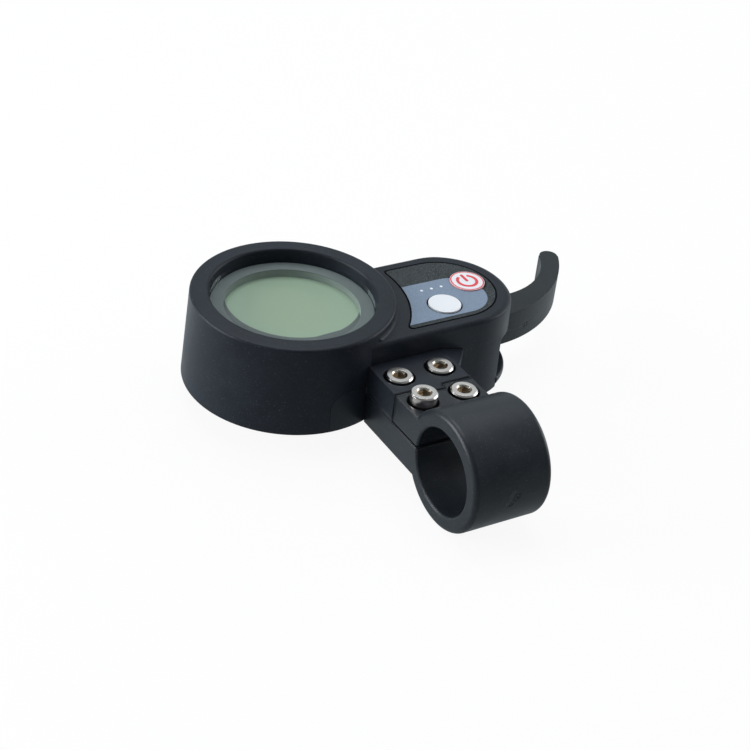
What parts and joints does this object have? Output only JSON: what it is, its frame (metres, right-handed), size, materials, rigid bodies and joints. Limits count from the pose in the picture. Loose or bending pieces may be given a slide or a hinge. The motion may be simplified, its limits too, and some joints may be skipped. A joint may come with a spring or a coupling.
{
  "type": "handlebar display unit",
  "caption": "Round display drum with a keypad lobe, a curved finger throttle lever and a one-piece clamp for a bicycle's handlebar.",
  "frame": {"origin": "centre of the clamp's bore, halfway along its width", "axes": "+X along the handlebar towards the lever's side, +Y from the handlebar to the display, +Z out of the display's face"},
  "size_m": [0.119, 0.1056, 0.0322],
  "materials": {
    "housing": "satin, fine grain",
    "cover": "satin, fine grain",
    "clamp": "satin, fine grain",
    "lever": "matt, slightly polished by the finger",
    "seal": "matt",
    "screw_steel": "plain",
    "bright_screw": "bright nickel",
    "spring_steel": "drawn wire",
    "lens": "clear",
    "mask_print": "printed grey ring",
    "lcd": "pale green display face",
    "white_plastic": "white",
    "contact_rubber": "pink silicone strip",
    "board": "green solder mask",
    "chip": "dark moulding",
    "label": "speckled dark film with a blue-grey panel",
    "key_white": "white silicone key",
    "ribbon": "amber flexible foil"
  },
  "bodies": {
    "housing": {"front_housing": "housing", "rear_cover": "cover", "cover_seal": "seal", "cover_screws": "screw_steel", "display_lens": "lens", "lens_mask": "mask_print", "lens_gasket": "seal", "lcd_panel": "lcd", "lcd_backlight": "white_plastic", "lcd_frame": "white_plastic", "lcd_connector": "contact_rubber", "main_board": "board", "board_screws": "screw_steel", "microcontroller": "chip", "power_components": "chip", "cable_socket": "white_plastic", "keypad_label": "label", "indicator_leds": "key_white", "key_switches": "screw_steel", "keypad_board": "board", "keypad_screws": "screw_steel", "keypad_ribbon": "ribbon", "ribbon_sockets": "white_plastic", "hall_sensor": "chip", "throttle_spindle": "screw_steel", "spindle_clip": "screw_steel", "thrust_washer": "white_plastic", "return_spring": "spring_steel", "throttle_cover": "cover", "throttle_cover_screws": "screw_steel", "handlebar_clamp": "clamp", "pinch_screws": "bright_screw", "pinch_nuts": "bright_screw", "bracket_screws": "bright_screw", "bracket_nuts": "bright_screw", "cable_gland": "seal"},
    "lever": {"throttle_lever": "lever", "throttle_magnets": "screw_steel"},
    "mode_key": {"mode_button": "key_white"},
    "power_key": {"power_button": "key_white"}
  },
  "joints": [
    {"name": "lever_pull", "type": "hinge", "parent": "housing", "child": "lever", "pos_m": [0.0229, 0.05402, 0], "axis": [0, 0, -1], "range_deg": [0, 30], "stiffness_Nm_per_rad": 0.05, "springref_deg": -17.19, "deforming": ["return_spring"]},
    {"name": "mode_press", "type": "slide", "parent": "housing", "child": "mode_key", "axis": [0, 0, -1], "range_m": [0, 0.0004], "stiffness_N_per_m": 800, "springref_m": -0.0002},
    {"name": "power_press", "type": "slide", "parent": "housing", "child": "power_key", "axis": [0, 0, -1], "range_m": [0, 0.0004], "stiffness_N_per_m": 800, "springref_m": -0.0002}
  ]
}
